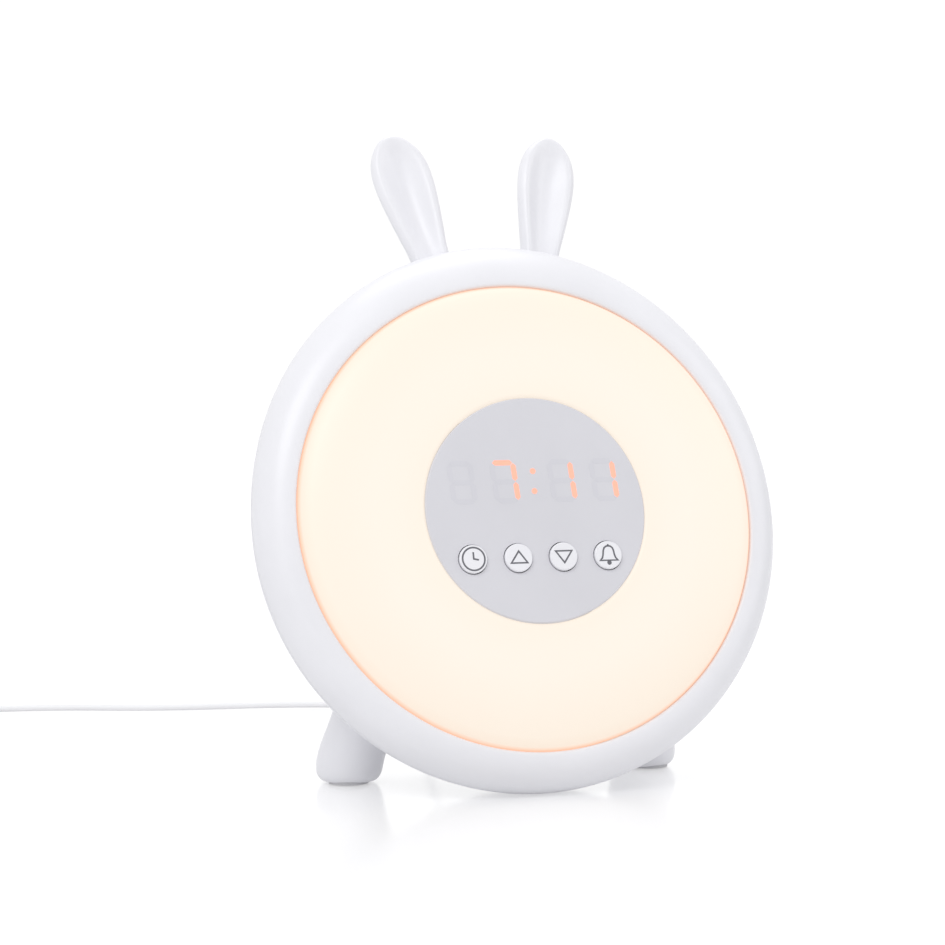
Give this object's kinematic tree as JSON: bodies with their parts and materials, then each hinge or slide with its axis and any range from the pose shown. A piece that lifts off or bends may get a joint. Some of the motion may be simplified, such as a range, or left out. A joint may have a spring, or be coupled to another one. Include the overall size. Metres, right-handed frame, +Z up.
{
  "type": "kids alarm clock",
  "caption": "Round white alarm clock with ears, two stub feet, a lit diffuser, a digital display, push buttons and a power cord.",
  "frame": {"origin": "on the table under the middle of the clock's box, the cord left out", "axes": "+Z up, -Y is the front with the display, +X is to the right of a person who reads the clock"},
  "size_m": [0.3431, 0.2811, 0.2154],
  "materials": {
    "board_green": "green solder mask",
    "board_white": "white solder mask",
    "button_white": "satin pale grey",
    "casing_white": "satin moulded white",
    "cell_steel": "nickel-plated steel",
    "cone_paper": "coated paper cone",
    "cord_white": "soft white jacket",
    "diffuser_warm": "milky translucent, lit warm white",
    "inner_white": "matte white",
    "led": "clear package over yellow phosphor",
    "module_black": "matte dark grey",
    "pad_rubber": "soft pale grey rubber",
    "panel_grey": "satin light grey",
    "plunger_black": "matte black",
    "screw_steel": "zinc-plated steel",
    "speaker_steel": "plated steel",
    "switch_black": "matte black"
  },
  "bodies": {
    "casing": {"backup_cell": "cell_steel", "board_parts": "switch_black", "board_spacers": "inner_white", "button_switches": "switch_black", "cell_contact": "cell_steel", "cell_door": "casing_white", "cell_door_screw": "screw_steel", "cord_coil": "cord_white", "dc_plug": "cord_white", "display_board": "board_green", "display_module": "module_black", "display_panel": "panel_grey", "display_pod": "inner_white", "display_screws": "screw_steel", "ear_left": "casing_white", "ear_left_screw": "screw_steel", "ear_left_washer": "screw_steel", "ear_right": "casing_white", "ear_right_screw": "screw_steel", "ear_right_washer": "screw_steel", "foot_left": "casing_white", "foot_left_screw": "screw_steel", "foot_pad_left": "pad_rubber", "foot_pad_right": "pad_rubber", "foot_right": "casing_white", "foot_right_screw": "screw_steel", "front_rim": "casing_white", "housing_screws": "screw_steel", "light_board": "board_white", "light_diffuser": "diffuser_warm", "light_leds": "led", "main_board": "board_green", "main_board_screws": "screw_steel", "pod_screws": "screw_steel", "power_cord": "cord_white", "power_jack": "switch_black", "rear_shell": "casing_white", "reflector": "inner_white", "rim_screws": "screw_steel", "speaker_cone": "cone_paper", "speaker_frame": "speaker_steel", "speaker_magnet": "speaker_steel", "strain_relief": "cord_white", "usb_grip": "cord_white", "usb_relief": "cord_white", "usb_shell": "cell_steel"},
    "clock_key": {"clock_button": "button_white", "clock_plunger": "plunger_black"},
    "up_key": {"up_button": "button_white", "up_plunger": "plunger_black"},
    "down_key": {"down_button": "button_white", "down_plunger": "plunger_black"},
    "alarm_key": {"alarm_button": "button_white", "alarm_plunger": "plunger_black"}
  },
  "joints": [
    {"name": "clock_press", "type": "slide", "parent": "casing", "child": "clock_key", "axis": [0, 0.9641, -0.2656], "range_m": [0, 0.0005], "stiffness_N_per_m": 1500, "springref_m": -0.0003},
    {"name": "up_press", "type": "slide", "parent": "casing", "child": "up_key", "axis": [0, 0.9641, -0.2656], "range_m": [0, 0.0005], "stiffness_N_per_m": 1500, "springref_m": -0.0003},
    {"name": "down_press", "type": "slide", "parent": "casing", "child": "down_key", "axis": [0, 0.9641, -0.2656], "range_m": [0, 0.0005], "stiffness_N_per_m": 1500, "springref_m": -0.0003},
    {"name": "alarm_press", "type": "slide", "parent": "casing", "child": "alarm_key", "axis": [0, 0.9641, -0.2656], "range_m": [0, 0.0005], "stiffness_N_per_m": 1500, "springref_m": -0.0003}
  ]
}
